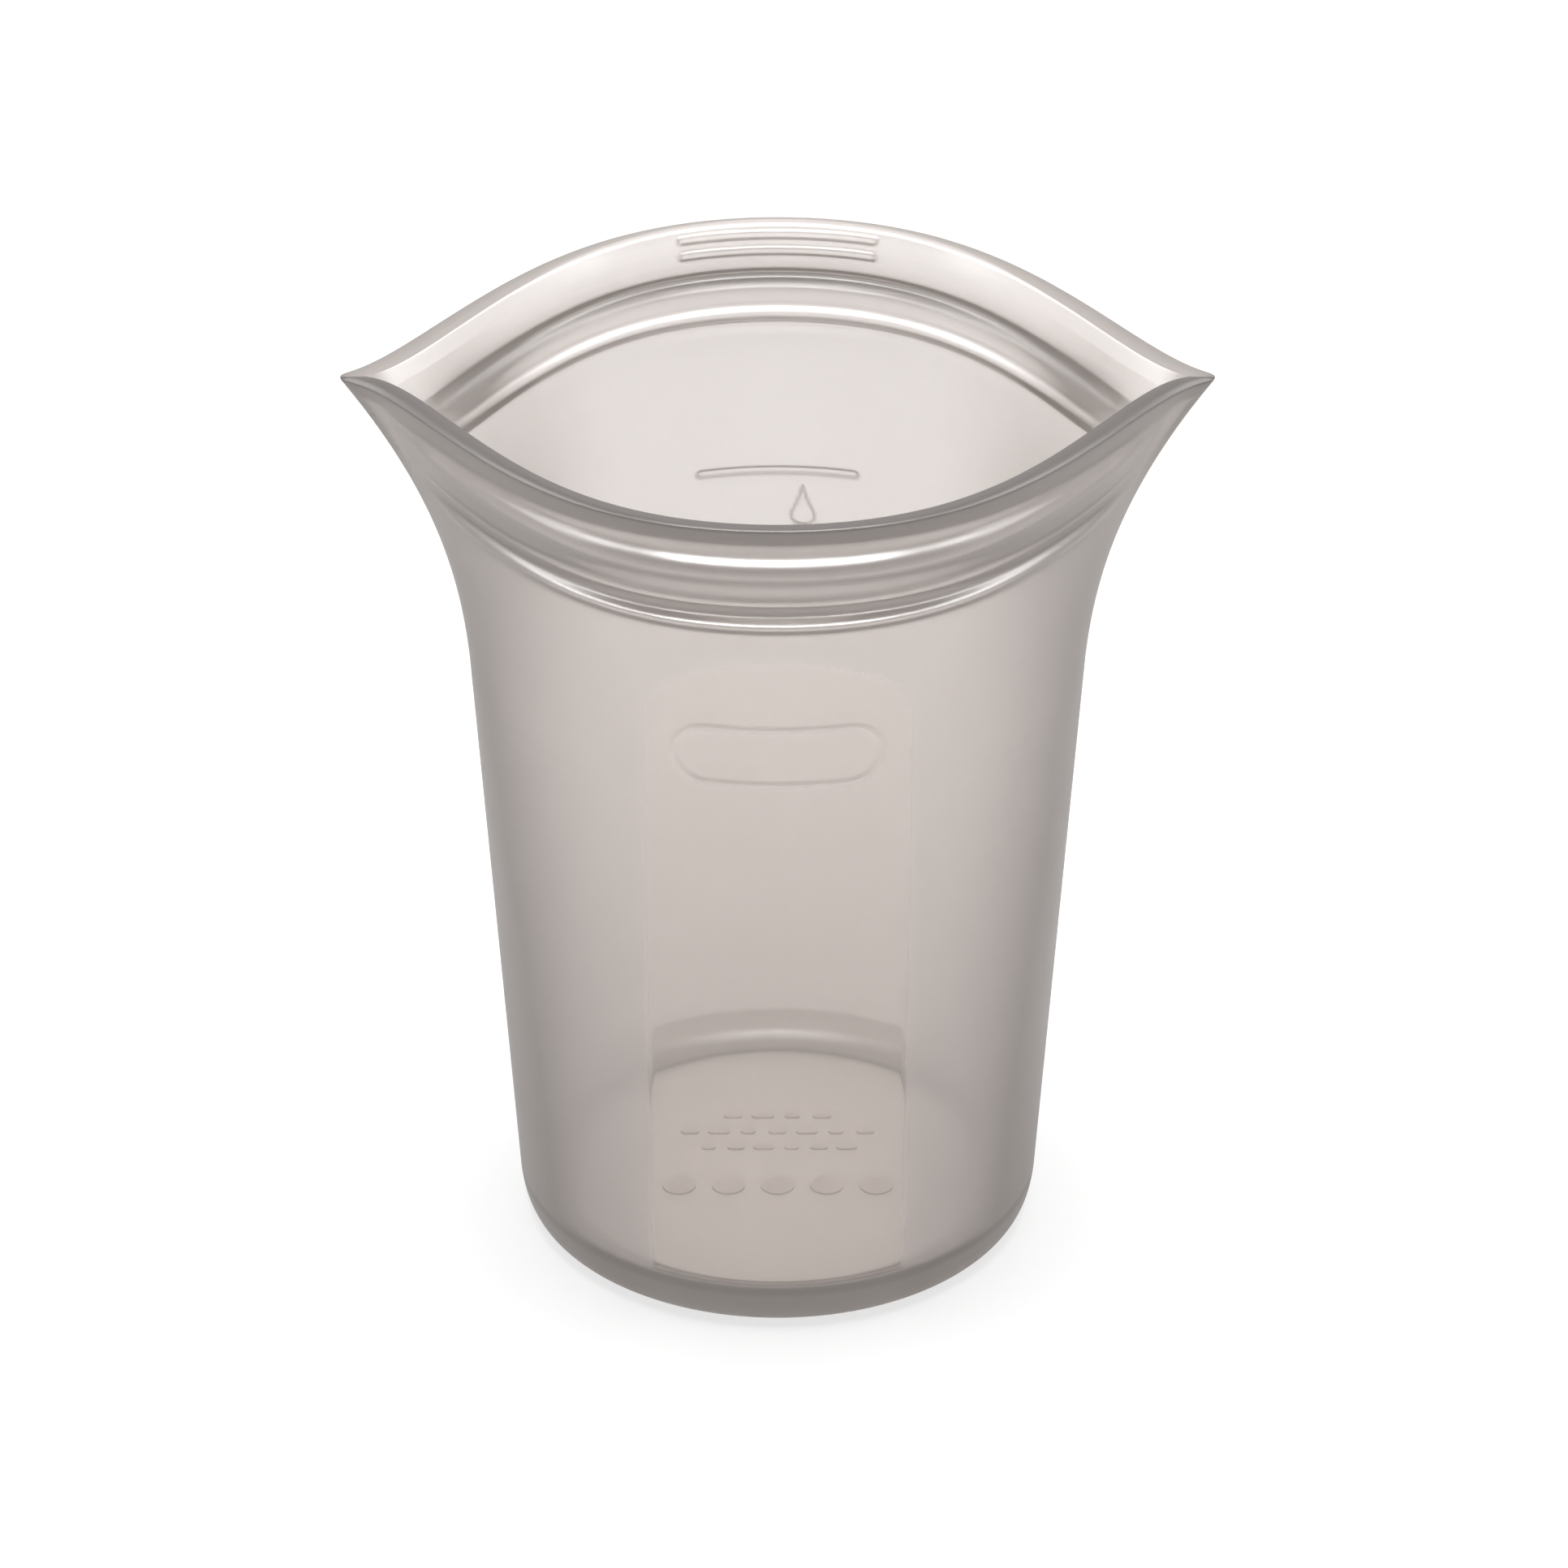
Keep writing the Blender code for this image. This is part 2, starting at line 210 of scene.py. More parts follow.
def half_width(z):
    """Half the moulding's width along X."""
    over = max(z - FLARE_Z, 0.0)
    return cone_radius(z) + FLARE_RATE * over * over


def mouth_share(z):
    """0 where the section is round, 1 at the rim, where it is a pointed lens."""
    return (max(z - FLARE_Z, 0.0) / (HEIGHT - FLARE_Z)) ** MOUTH_EASE


def lens(u, share):
    """Half depth of the section at u of its half width, as a share of its middle."""
    power = 0.5 * (1.0 - share) + share * (0.8 + 0.7 * u * u)
    return np.maximum(1.0 - u * u, 0.0) ** power


def lip_fade(u):
    """1 along the lips, 0 at the corners, where the seal's ridges die out."""
    return 1.0 - smooth_step(u, 0.82, 0.95)


def rim_flare(z):
    """How far the lips lean out of the cone near the rim."""
    return RIM_LEAN * smooth_step(z, 152.0, HEIGHT + 0.6)


class Station:
    """One control section: height, depth in from the outside, corner form, bulges and shade.

    The bulges stand out from the front and rear lips. The shade is how dense the silicone looks,
    and much of it is painted shade.
    """

    def __init__(self, z, depth=0.0, corner=None, tip=CORNER_HALF_THICK, front=0.0, rear=None,
                 shade=0.0):
        self.values = np.array([
            z,
            depth,
            depth if corner is None else corner,
            tip,
            front,
            front if rear is None else rear,
            shade,
        ])


def outside_stations():
    """From the middle of the underside out round the foot and up to the rim."""
    foot = [(0.15, 2.6, 0.9), (1.3, 1.1, 0.8), (3.6, 0.25, 0.8), (6.2, 0.0, 0.8), (7.0, 0.0, 1.05),
            (8.2, 0.0, 1.05), (8.7, 0.0, 0.0), (9.6, 0.0, 0.0)]
    stations = [Station(0.0, WALL_BASE_R - r) for r in (0.5, 20.0, 36.0)]
    stations += [Station(0.0, WALL_BASE_R - 39.6, shade=0.9)]
    stations += [Station(z, depth, shade=shade) for z, depth, shade in foot]
    stations += [Station(z) for z in (14.0, PARTING_Z, 40.0, 68.0, 96.0, 106.0, 114.0, 122.0)]
    stations += [Station(z) for z in (130.0, 135.5)]
    # The shade column here is painted shade: dark in the grooves and under the ridges, none on their crests.
    seal = [
        (137.6, 0.1, 0.1),
        (138.5, 0.9, 0.4),
        (139.4, 1.9, 0.3),
        (140.3, 1.7, 0.0),
        (140.9, -0.2, 0.7),
        (142.9, -0.4, 0.9),
        (143.3, 0.6, 0.8),
        (143.7, 1.8, 0.1),
        (144.6, 2.0, 0.3),
        (145.2, 1.6, 0.9),
        (146.4, 1.8, 0.4),
        (148.2, 2.1, 0.7),
        (149.1, 2.6, 0.2),
        (150.2, 3.1, 0.0),
        (151.5, 2.6, 0.0),
        (152.6, 1.3, 0.0),
        (153.9, 0.3, 0.5),
    ]
    stations += [
        Station(z, front=bulge, rear=bulge * REAR_BULGE * (z < 149.0), shade=shade)
        for z, bulge, shade in seal
    ]
    # The front rim's shade here is partly painted shade.
    rim = ((155.2, 0.0), (156.2, 0.0), (157.0, 0.0), (157.5, 0.02))
    stations += [Station(z, depth, shade=1.0) for z, depth in rim]
    stations += [Station(157.85, 0.22, shade=RIM_SHADE)]
    return stations


def inside_stations():
    """From the rim down the inside to the middle of the floor."""
    def inner(z, depth=WALL, front=0.0, rear=0.0, shade=0.0):
        corner = depth if z < FLOOR + 5.0 else WALL + (CORNER_WALL - WALL) * mouth_share(z)
        lips = depth - (CORNER_HALF_THICK - CORNER_SLIT) * mouth_share(z)
        return Station(z, lips, corner, CORNER_SLIT, front, rear, shade)

    # The rim's shade is partly painted shade; at the rear it gives way to a clear, lighter rim.
    stations = [
        inner(157.9, 0.7, shade=RIM_SHADE),
        inner(157.9, RIM_THICK - 0.7, shade=RIM_SHADE),
        inner(157.85, RIM_THICK - 0.2, shade=RIM_SHADE),
        inner(157.5, RIM_THICK, shade=RIM_SHADE),
        inner(156.6, RIM_THICK, shade=0.2),
        inner(155.5, RIM_THICK - 0.1),
        inner(153.0, WALL + 0.1),
        inner(151.2, shade=0.2),
    ]
    # The shade column here is painted shade: dark in the channel and on the step below it, where it also
    # dulls the lamps' highlights.
    seal = [
        (150.5, 0.0, 0.1, 0.4),
        (149.8, -0.9, 0.9, 0.5),
        (149.0, -1.3, 1.4, 0.6),
        (148.3, -0.9, 1.2, 0.9),
        (147.8, -0.1, 0.0, 1.2),
        (147.3, 0.0, -0.5, 0.9),
        (146.6, -0.5, -0.7, 0.4),
        (145.0, -0.7, -0.9, 0.2),
        (144.2, -0.7, -0.8, 0.2),
        (143.5, -0.9, -1.6, 0.0),
        (142.7, -0.9, -1.7, 0.0),
        (141.8, -0.4, -0.7, 0.1),
        (140.9, 0.0, 0.0, 0.1),
    ]
    stations += [inner(z, front=front, rear=rear, shade=shade) for z, front, rear, shade in seal]
    heights = (140.5, 135.5, 130.0, 122.0, 114.0, 106.0, 96.0, 68.0, 40.0, PARTING_Z, 14.0, 10.0)
    stations += [inner(z) for z in heights]
    # Painted shade along the fillet and the crease where the floor meets the wall; the floor itself is a
    # little denser.
    bottom = [(4.4, 0.1, 0.0), (2.2, 0.8, 0.2), (0.9, 2.2, 1.0), (0.2, 4.2, 1.0), (0.0, 4.9, 1.7),
              (-0.1, 5.6, 1.3), (0.0, 6.2, 0.0), (0.0, 9.0, 0.15), (0.0, 24.0, 0.15),
              (0.0, 41.6, 0.15)]
    stations += [inner(FLOOR + rise, WALL + depth, shade=shade) for rise, depth, shade in bottom]
    return stations


def rounded(stations, bands):
    """Round a run of control sections by cutting its corners, then divide it finely in bands.

    Each band is its lowest and highest height and the widest step allowed there.
    """
    values = [station.values for station in stations]
    for _ in range(SMOOTHING):
        cut = [values[0]]
        for first, second in zip(values, values[1:]):
            cut += [0.75 * first + 0.25 * second, 0.25 * first + 0.75 * second]
        values = cut + [values[-1]]
    kept = [values[0]]
    for value in values[1:]:
        if np.abs(value - kept[-1])[:3].max() > FINEST_STEP:
            kept.append(value)
    kept[-1] = values[-1]
    fine = [kept[0]]
    for first, second in zip(kept, kept[1:]):
        step = COARSE_STEP
        for low, high, widest in bands:
            if max(first[0], second[0]) > low and min(first[0], second[0]) < high:
                step = min(step, widest)
        count = max(1, math.ceil(abs(second[0] - first[0]) / step))
        fine += [first + (second - first) * k / count for k in range(1, count + 1)]
    return fine


def section(values):
    """The points of one level section, anticlockwise from +X, in metres."""
    z, depth, corner, tip, front, rear, _ = values
    share = mouth_share(z)
    u = np.cos(ANGLES)
    rise = np.abs(np.sin(ANGLES))
    side = np.where(np.sin(ANGLES) >= 0.0, REAR, FRONT)
    ridge = np.where(side > 0.0, rear, front) * lip_fade(np.abs(u))
    half_y = cone_radius(z) + rim_flare(z) - depth
    edge = tip * share * np.sqrt(np.maximum(1.0 - u**TIP_SHARPNESS, 0.0))
    y = side * (half_y * lens(u, share) + edge + ridge * rise**0.25)
    y[rise < 1e-9] = 0.0
    x = (half_width(z) - corner) * u
    height = z - CORNER_DROP * share * u * u
    return np.stack([x, y, height], axis=1) * MM


def bar(across, up, middle, level, half_length, half_height):
    """How far a point lies outside a bar with round ends, in millimetres."""
    beyond = np.maximum(np.abs(across - middle) - (half_length - half_height), 0.0)
    return np.hypot(beyond, up - level) - half_height


def raised(distance, height, edge):
    """The rise of a pad whose outline lies where distance is 0."""
    return height * (1.0 - smooth_step(distance, -edge, edge))


def drop(across, up):
    """How far a point lies outside a drop that narrows to a point above."""
    x = across - DROP_X
    z = up - DROP_Z
    belly = np.hypot(x, z) - DROP_R
    lean = np.maximum(z, 0.0) / (DROP_TALL * DROP_R)
    cone = np.abs(x) - DROP_R * np.clip(1.0 - lean, 0.0, 1.0) ** 1.4
    return np.where(z > 0.0, np.maximum(cone, z - (DROP_TALL - 0.1) * DROP_R), belly)


def window(across, up):
    """How far a point lies outside the clear panel with an arched top."""
    arch = np.maximum(up - (WINDOW_TOP - WINDOW_ARCH), 0.0) / WINDOW_ARCH
    side = np.abs(across) - WINDOW_HALF * np.sqrt(np.clip(1.0 - arch * arch, 0.0, 1.0))
    return np.maximum(np.maximum(side, WINDOW_BOTTOM - up), up - WINDOW_TOP)


def marks_outside(across, up, front):
    """The raised marks on the outside of the wall."""
    rise = raised(window(across, up), -WINDOW_STEP, 0.35) * front
    ring = np.abs(bar(across, up, 0.0, BADGE_Z, BADGE_HALF, BADGE_R)) - 0.45
    rise += raised(ring, BADGE_RISE, 0.3) * front
    fill = bar(across, up, 0.0, FILL_Z, FILL_HALF, BAR_R)
    rise += raised(fill, MARK_RISE, 0.3) * (1.0 - front)
    outline = np.abs(drop(across, up)) - 0.3
    rise += raised(outline, MARK_RISE, 0.25) * (1.0 - front)
    return rise


def marks_inside(across, up):
    """The grip bars inside both lips."""
    rise = np.zeros_like(across)
    for level in GRIP_Z:
        rise += raised(bar(across, up, 0.0, level, GRIP_HALF, BAR_R), GRIP_RISE, 0.25)
    return rise


class Skin:
    """The whole moulding as rings of points, with a normal at every point."""

    def __init__(self):
        outside = rounded(outside_stations(), OUTSIDE_BANDS)
        inside = rounded(inside_stations(), INSIDE_BANDS)
        self.turn = len(outside)
        self.values = outside + inside
        self.points = np.array([section(values) for values in self.values])
        self.add_marks()
        self.outer_cut = self.nearest(PARTING_Z, 0, self.turn)
        self.inner_cut = self.nearest(PARTING_Z, self.turn, len(self.values))
        self.normals = self.find_normals()
        self.thickness_and_shade = self.find_thickness_and_shade()
        self.panel = self.find_panel()

    def find_thickness_and_shade(self):
        """How much denser than the plain wall the silicone looks, and where shade is painted in.

        The foot and the seams at the corners are thick. Painted shade darkens the seal's grooves and
        the undersides of its ridges, the front rim, the lower wall, the crease of the floor and the
        edges of the marks. The rear rim is clear but for its outer edge, and the rear ridges show only
        in relief. Inside the rear lip, the seal and the flange are darker towards the corners; on the
        flange this is painted shade.
        """
        u = np.abs(np.cos(ANGLES))
        front = np.sin(ANGLES) < 0.0
        behind = smooth_step(np.sin(ANGLES), 0.0, 0.7)
        thickness_and_shade = np.zeros(self.points.shape[:2])
        for r, values in enumerate(self.values):
            z, depth, shade = values[0], values[1], values[-1]
            seam = SEAM_SHADE * smooth_step(z, FLARE_Z, 145.0) * smooth_step(u, 0.955, 0.99)
            # Painted shade, deepening down the wall towards the foot.
            wall = WALL_PAINTED_SHADE * (1.0 - smooth_step(z, 20.0, 125.0))
            front_shade = shade * (lip_fade(u) if 137.0 < z < 155.0 else 1.0)
            rear_shade = front_shade
            # Painted shade: the foot is darker at its sides than at the middle of the front.
            if r < self.turn and z < FOOT_TOP:
                front_shade = shade * (FOOT_MIDDLE + (1.0 - FOOT_MIDDLE) * u * u)
            # The rear rim is kept clear and light, against the front rim's painted shade.
            if z > 155.0:
                rear_shade = 0.9 if z > 157.45 and depth < 0.12 else CLEAR_RIM_SHADE
            elif r < self.turn:
                rear_shade = 0.0 if z > 137.0 else shade * (1.0 - 0.5 * behind)
            # Darker towards the corners inside the rear lip; on the flange this is painted shade.
            if r > self.turn and z > SEAL_BOTTOM:
                corner_shade = SEAL_CORNER_SHADE if z < SEAL_TOP else FLANGE_CORNER_PAINTED_SHADE
                rear_shade = rear_shade + corner_shade * smooth_step(u, 0.65, 0.88)
            thickness_and_shade[r] = np.maximum(seam, np.where(front, front_shade, rear_shade)) + wall
        # Painted shade along the edges of the marks.
        return thickness_and_shade + OUTLINE_PAINTED_SHADE * self.outlines()

    def outlines(self):
        """1 along the edges of the rear wall's marks and the grip bars, 0 elsewhere."""
        across, up = self.points[:, :, 0] / MM, self.points[:, :, 2] / MM
        fill = np.abs(bar(across, up, 0.0, FILL_Z, FILL_HALF, BAR_R))
        edge = np.minimum(fill, np.abs(drop(across, up)))
        grips = [np.abs(bar(across, up, 0.0, level, GRIP_HALF, BAR_R)) for level in GRIP_Z]
        edge[self.turn :] = np.minimum(*grips)[self.turn :]
        return (1.0 - smooth_step(edge, 0.15, 0.5)) * (self.points[:, :, 1] > 0.0)

    def find_panel(self):
        """1 on the clear panel in the front wall, 0 elsewhere."""
        across = self.points[:, :, 0] / MM
        up = self.points[:, :, 2] / MM
        front = (self.points[:, :, 1] < 0.0).astype(float)
        wall = smooth_step(np.hypot(across, self.points[:, :, 1] / MM), 36.0, 40.0)
        return (1.0 - smooth_step(window(across, up), -0.4, 0.4)) * front * wall

    def nearest(self, z, first, last):
        """The ring between two others that is closest to a height."""
        heights = [abs(self.values[i][0] - z) for i in range(first, last)]
        return first + int(np.argmin(heights))

    def add_marks(self):
        """Raise the marks along the wall's own normal."""
        normal = self.find_normals()
        across = self.points[:, :, 0] / MM
        up = self.points[:, :, 2] / MM
        front = (self.points[:, :, 1] < 0.0).astype(float)
        rise = marks_outside(across, up, front)
        rise[self.turn :] = marks_inside(across[self.turn :], up[self.turn :])
        self.points += normal * rise[:, :, None] * MM

    def find_normals(self):
        """Outward normals, from Blender's own smoothing of the whole skin."""
        rings, count = self.points.shape[:2]
        mesh = bpy.data.meshes.new("whole_skin")
        faces = [
            (r * count + i, r * count + (i + 1) % count,
             (r + 1) * count + (i + 1) % count, (r + 1) * count + i)
            for r in range(rings - 1)
            for i in range(count)
        ]
        mesh.from_pydata(self.points.reshape(-1, 3).tolist(), [], faces)
        normals = np.zeros(rings * count * 3)
        mesh.vertex_normals.foreach_get("vector", normals)
        bpy.data.meshes.remove(mesh)
        return normals.reshape(rings, count, 3)

    def piece(self, name, spans, columns, materials):
        """A closed piece of the skin, with clear faces where it meets its neighbours."""
        whole = len(columns) == SEGMENTS
        vertices = []
        normals = []
        thickness_and_shade = []
        panel = []
        loops = []
        for first, last in spans:
            for r in range(first, last + 1):
                loops.append([len(vertices) + k for k in range(len(columns))])
                vertices += [self.points[r, c % SEGMENTS] for c in columns]
                normals += [self.normals[r, c % SEGMENTS] for c in columns]
                thickness_and_shade += [self.thickness_and_shade[r, c % SEGMENTS] for c in columns]
                panel += [self.panel[r, c % SEGMENTS] for c in columns]
        faces = []
        run = 0
        reach = len(columns) if whole else len(columns) - 1
        for first, last in spans:
            for r in range(run, run + last - first):
                for k in range(reach):
                    n = (k + 1) % len(columns)
                    faces.append((loops[r][k], loops[r][n], loops[r + 1][n], loops[r + 1][k]))
            run += last - first + 1
        skin_faces = len(faces)
        if whole:
            faces.append(tuple(reversed(loops[0])))
            faces.append(tuple(loops[-1]))
            skin_faces += 2
            low, high = spans[0][1] - spans[0][0], spans[0][1] - spans[0][0] + 1
            for k in range(reach):
                n = (k + 1) % len(columns)
                faces.append((loops[low][k], loops[low][n], loops[high][n], loops[high][k]))
        else:
            for k in range(reach):
                faces.append((loops[-1][k], loops[-1][k + 1], loops[0][k + 1], loops[0][k]))
            faces.append(tuple(loop[0] for loop in loops))
            faces.append(tuple(loop[-1] for loop in reversed(loops)))
        mesh = bpy.data.meshes.new(name)
        mesh.from_pydata([tuple(v) for v in vertices], [], faces)
        for material in materials:
            mesh.materials.append(material)
        for index, polygon in enumerate(mesh.polygons):
            polygon.use_smooth = index < skin_faces
            polygon.material_index = 0 if index < skin_faces else 1
        custom = []
        for index, polygon in enumerate(mesh.polygons):
            for vertex in polygon.vertices:
                custom.append(normals[vertex] if index < skin_faces else polygon.normal)
        mesh.normals_split_custom_set([tuple(n) for n in custom])
        for label, values in (("thickness_and_shade", thickness_and_shade), ("panel", panel)):
            attribute = mesh.attributes.new(label, "FLOAT", "POINT")
            attribute.data.foreach_set("value", np.array(values, np.float32))
        piece = bpy.data.objects.new(name, mesh)
        bpy.context.scene.collection.objects.link(piece)
        return piece


def floor_pad(shape, x, y, half_x, half_y):
    """Add a low pad with round ends to the floor of the hollow, in millimetres."""
    radius = min(half_x, half_y)
    outline = []
    for step in range(4 * PAD_TURN):
        angle = 2.0 * math.pi * step / (4 * PAD_TURN)
        reach_x = math.copysign(half_x - radius, math.cos(angle))
        reach_y = math.copysign(half_y - radius, math.sin(angle))
        outline.append((x + reach_x + radius * math.cos(angle),
                        y + reach_y + radius * math.sin(angle)))
    low = [shape.verts.new((px * MM, py * MM, PAD_Z[0] * MM)) for px, py in outline]
    high = [shape.verts.new((px * MM, py * MM, PAD_Z[1] * MM)) for px, py in outline]
    shape.faces.new(tuple(reversed(low)))
    shape.faces.new(tuple(high))
    for i in range(len(low)):
        j = (i + 1) % len(low)
        shape.faces.new((low[i], low[j], high[j], high[i]))


def base_marks(material):
    """Plain bars and dots on the floor, in place of care notes."""
    shape = bmesh.new()
    for y, half_row in BAR_ROWS:
        count = round(2.0 * half_row / BAR_PITCH)
        pitch = 2.0 * half_row / count
        for k in range(count):
            half = pitch * (0.26 + 0.06 * ((k * 7 + count) % 3))
            floor_pad(shape, pitch * (k + 0.5) - half_row, y, half, BAR_HALF_HEIGHT)
    for k in (-2, -1, 0, 1, 2):
        floor_pad(shape, DOT_PITCH * k, DOT_Y, DOT_R, DOT_R)
    mesh = bpy.data.meshes.new("base_marks")
    shape.to_mesh(mesh)
    shape.free()
    mesh.materials.append(material)
    dense = mesh.attributes.new("thickness_and_shade", "FLOAT", "POINT")
    dense.data.foreach_set("value", np.full(len(mesh.vertices), PAD_SHADE, np.float32))
    marks = bpy.data.objects.new("base_marks", mesh)
    bpy.context.scene.collection.objects.link(marks)
    return marks


def clear_material():
    """A face inside unbroken silicone: nothing to see."""
    material = bpy.data.materials.new("inside_clear")
    material.use_nodes = True
    tree = material.node_tree
    tree.nodes.clear()
    clear = tree.nodes.new("ShaderNodeBsdfTransparent")
    output = tree.nodes.new("ShaderNodeOutputMaterial")
    tree.links.new(clear.outputs[0], output.inputs["Surface"])
    return material


def map_range(tree, source, from_low, from_high, to_low, to_high, smooth=False):
    """A node that maps one range of a value to another, and its result."""
    node = tree.nodes.new("ShaderNodeMapRange")
    node.interpolation_type = "SMOOTHSTEP" if smooth else "LINEAR"
    node.inputs["From Min"].default_value = from_low
    node.inputs["From Max"].default_value = from_high
    node.inputs["To Min"].default_value = to_low
    node.inputs["To Max"].default_value = to_high
    tree.links.new(source, node.inputs["Value"])
    return node.outputs["Result"]


def math_node(tree, operation, first, second):
    """A Math node on two values or sockets, held between 0 and 1."""
    node = tree.nodes.new("ShaderNodeMath")
    node.operation = operation
    node.use_clamp = True
    for socket, value in zip(node.inputs, (first, second)):
        if isinstance(value, float):
            socket.default_value = value
        else:
            tree.links.new(value, socket)
    return node.outputs[0]


def noise(tree, vector, scale, detail):
    """A noise texture in the object's own space."""
    node = tree.nodes.new("ShaderNodeTexNoise")
    node.inputs["Scale"].default_value = scale
    node.inputs["Detail"].default_value = detail
    tree.links.new(vector, node.inputs["Vector"])
    return node.outputs["Fac"]


def mix_colour(tree, share, first, second):
    """A colour between two colours or sockets."""
    node = tree.nodes.new("ShaderNodeMix")
    node.data_type = "RGBA"
    for socket, colour in ((node.inputs[6], first), (node.inputs[7], second)):
        if isinstance(colour, tuple):
            socket.default_value = (*colour, 1.0)
        else:
            tree.links.new(colour, socket)
    tree.links.new(share, node.inputs[0])
    return node.outputs[2]


def silicone_material():
    """Frosted silicone: part clear, part milky, with a satin skin and a fine grain.

    It is denser and darker where it is thick, where shade is painted into it, and where the wall
    is met at a low angle.
    """
    material = bpy.data.materials.new("frosted_silicone")
    material.use_nodes = True
    tree = material.node_tree
    tree.nodes.clear()
    new = tree.nodes.new
    link = tree.links.new

    place = new("ShaderNodeTexCoord").outputs["Object"]
    cloud = noise(tree, place, CLOUD_SCALE, 3.0)
    bump = new("ShaderNodeBump")
    bump.inputs["Strength"].default_value = GRAIN_STRENGTH
    bump.inputs["Distance"].default_value = 0.0001
    link(noise(tree, place, GRAIN_SCALE, 2.0), bump.inputs["Height"])
    thickness_and_shade = new("ShaderNodeAttribute")
    thickness_and_shade.attribute_name = "thickness_and_shade"
    panel = new("ShaderNodeAttribute")
    panel.attribute_name = "panel"
    weight = new("ShaderNodeLayerWeight")
    weight.inputs["Blend"].default_value = 0.5
    grazing = map_range(tree, weight.outputs["Facing"], 0.2, 0.82, 0.0, 1.0, True)
    depth = math_node(tree, "ADD", grazing, thickness_and_shade.outputs["Fac"])

    body = new("ShaderNodeBsdfPrincipled")
    body.inputs["IOR"].default_value = SILICONE_IOR
    link(map_range(tree, depth, 0.0, 1.0, 1.0, 0.3), body.inputs["Specular IOR Level"])
    link(map_range(tree, cloud, 0.3, 0.7, 0.30, 0.40), body.inputs["Roughness"])
    link(bump.outputs["Normal"], body.inputs["Normal"])
    # The milk darkens with the attribute, which holds painted shade as well as thickness.
    milk_colour = mix_colour(tree, depth, THIN_MILK, THICK_MILK)
    # Past 1 the colour darkens further, for dense silicone and deep painted shade.
    dense_and_shaded_share = map_range(tree, thickness_and_shade.outputs["Fac"], 1.0, 2.0, 0.0, 1.0)
    milk_colour = mix_colour(tree, dense_and_shaded_share, milk_colour, DENSE_AND_SHADED_MILK)
    link(milk_colour, body.inputs["Base Color"])
    glow = new("ShaderNodeBsdfTranslucent")
    link(milk_colour, glow.inputs["Color"])
    milk = new("ShaderNodeMixShader")
    milk.inputs["Fac"].default_value = GLOW_SHARE
    link(body.outputs[0], milk.inputs[1])
    link(glow.outputs[0], milk.inputs[2])

    clear = new("ShaderNodeBsdfRefraction")
    clear.inputs["IOR"].default_value = SILICONE_IOR
    link(mix_colour(tree, panel.outputs["Fac"], CLEAR_TINT, PANEL_TINT), clear.inputs["Color"])
    blur = map_range(tree, panel.outputs["Fac"], 0.0, 1.0, FROSTED_ROUGHNESS, PANEL_ROUGHNESS)
    link(blur, clear.inputs["Roughness"])
    lamplight = new("ShaderNodeBsdfTransparent")
    lamplight.inputs["Color"].default_value = (*CLEAR_TINT, 1.0)
    path = new("ShaderNodeLightPath")
    see = new("ShaderNodeMixShader")
    link(path.outputs["Is Shadow Ray"], see.inputs["Fac"])
    link(clear.outputs[0], see.inputs[1])
    link(lamplight.outputs[0], see.inputs[2])
    density = map_range(tree, depth, 0.0, 1.0, *MILK_DENSITY)
    lit_edge = map_range(tree, thickness_and_shade.outputs["Fac"], CLEAR_RIM_SHADE, 0.0, CLEAR_RIM_MILK, 0.0)
    density = math_node(tree, "ADD", density, lit_edge)
    open_panel = map_range(tree, panel.outputs["Fac"], 0.0, 1.0, 1.0, PANEL_CLEARNESS)
    mix = new("ShaderNodeMixShader")
    link(math_node(tree, "MULTIPLY", density, open_panel), mix.inputs["Fac"])
    link(see.outputs[0], mix.inputs[1])
    link(milk.outputs[0], mix.inputs[2])
    gloss = new("ShaderNodeBsdfGlossy")
    gloss.inputs["Roughness"].default_value = GLOSS_ROUGHNESS
    skin_mix = new("ShaderNodeMixShader")
    shine = map_range(tree, depth, 0.0, 1.0, GLOSS, 0.2 * GLOSS)
    dull = map_range(tree, panel.outputs["Fac"], 0.0, 1.0, 1.0, 0.3)
    link(math_node(tree, "MULTIPLY", shine, dull), skin_mix.inputs["Fac"])
    link(mix.outputs[0], skin_mix.inputs[1])
    link(gloss.outputs[0], skin_mix.inputs[2])
    output = new("ShaderNodeOutputMaterial")
    link(skin_mix.outputs[0], output.inputs["Surface"])
    return material


